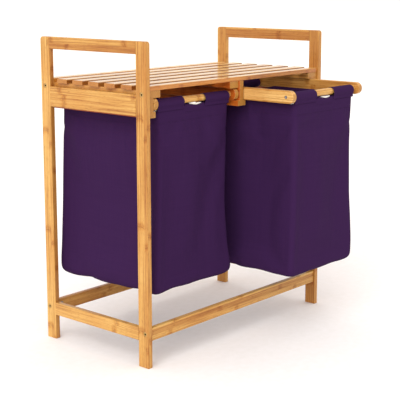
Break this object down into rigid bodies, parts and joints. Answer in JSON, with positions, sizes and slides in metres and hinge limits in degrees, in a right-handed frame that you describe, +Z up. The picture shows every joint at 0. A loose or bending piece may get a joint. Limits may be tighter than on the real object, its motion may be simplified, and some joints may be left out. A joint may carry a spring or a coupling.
{
  "type": "laundry sorter",
  "caption": "Free-standing bamboo laundry sorter with side handles, a slatted top shelf and fabric bags on carriers that slide out to the front.",
  "frame": {"origin": "on the floor, at the middle of the four posts", "axes": "+Z up, +X to the right and -Y to the front as a person faces the bags"},
  "size_m": [0.64, 0.4765, 0.715],
  "materials": {
    "bamboo": "gloss",
    "purple_cloth": "matte",
    "plated_steel": "satin",
    "brass_plated_steel": "satin",
    "hidden_steel": "satin"
  },
  "bodies": {
    "frame": {"centre_shelf_batten": "bamboo", "divider_foot": "bamboo", "divider_web": "bamboo", "front_left_post": "bamboo", "front_low_rail": "bamboo", "front_right_post": "bamboo", "left_handle_rail": "bamboo", "left_low_side_rail": "bamboo", "left_runner_foot": "bamboo", "left_runner_web": "bamboo", "left_shelf_batten": "bamboo", "left_side_board": "bamboo", "lower_barrel_nuts": "hidden_steel", "lower_frame_bolts": "brass_plated_steel", "rear_left_post": "bamboo", "rear_low_rail": "bamboo", "rear_right_post": "bamboo", "right_handle_rail": "bamboo", "right_low_side_rail": "bamboo", "right_runner_foot": "bamboo", "right_runner_web": "bamboo", "right_shelf_batten": "bamboo", "right_side_board": "bamboo", "runner_screws": "hidden_steel", "shelf_slat_1": "bamboo", "shelf_slat_2": "bamboo", "shelf_slat_3": "bamboo", "shelf_slat_4": "bamboo", "shelf_slat_5": "bamboo", "shelf_slat_6": "bamboo", "shelf_slat_7": "bamboo", "side_frame_pins": "bamboo", "slat_screws": "hidden_steel", "upper_barrel_nuts": "hidden_steel", "upper_frame_bolts": "brass_plated_steel"},
    "left_carrier": {"left_carrier_bag_bottom": "purple_cloth", "left_carrier_bag_front_panel": "purple_cloth", "left_carrier_bag_front_sleeves": "purple_cloth", "left_carrier_bag_inner_side": "purple_cloth", "left_carrier_bag_outer_side": "purple_cloth", "left_carrier_bag_rear_panel": "purple_cloth", "left_carrier_bag_rear_sleeves": "purple_cloth", "left_carrier_front_dowel": "bamboo", "left_carrier_left_arm": "bamboo", "left_carrier_rear_dowel": "bamboo", "left_carrier_right_arm": "bamboo", "left_carrier_screws": "plated_steel"},
    "right_carrier": {"right_carrier_bag_bottom": "purple_cloth", "right_carrier_bag_front_panel": "purple_cloth", "right_carrier_bag_front_sleeves": "purple_cloth", "right_carrier_bag_inner_side": "purple_cloth", "right_carrier_bag_outer_side": "purple_cloth", "right_carrier_bag_rear_panel": "purple_cloth", "right_carrier_bag_rear_sleeves": "purple_cloth", "right_carrier_front_dowel": "bamboo", "right_carrier_left_arm": "bamboo", "right_carrier_rear_dowel": "bamboo", "right_carrier_right_arm": "bamboo", "right_carrier_screws": "plated_steel"}
  },
  "joints": [
    {"name": "left_carrier_slide", "type": "slide", "parent": "frame", "child": "left_carrier", "axis": [0, -1, 0], "range_m": [0, 0.2]},
    {"name": "right_carrier_slide", "type": "slide", "parent": "frame", "child": "right_carrier", "axis": [0, -1, 0], "range_m": [-0.144, 0.056]}
  ]
}
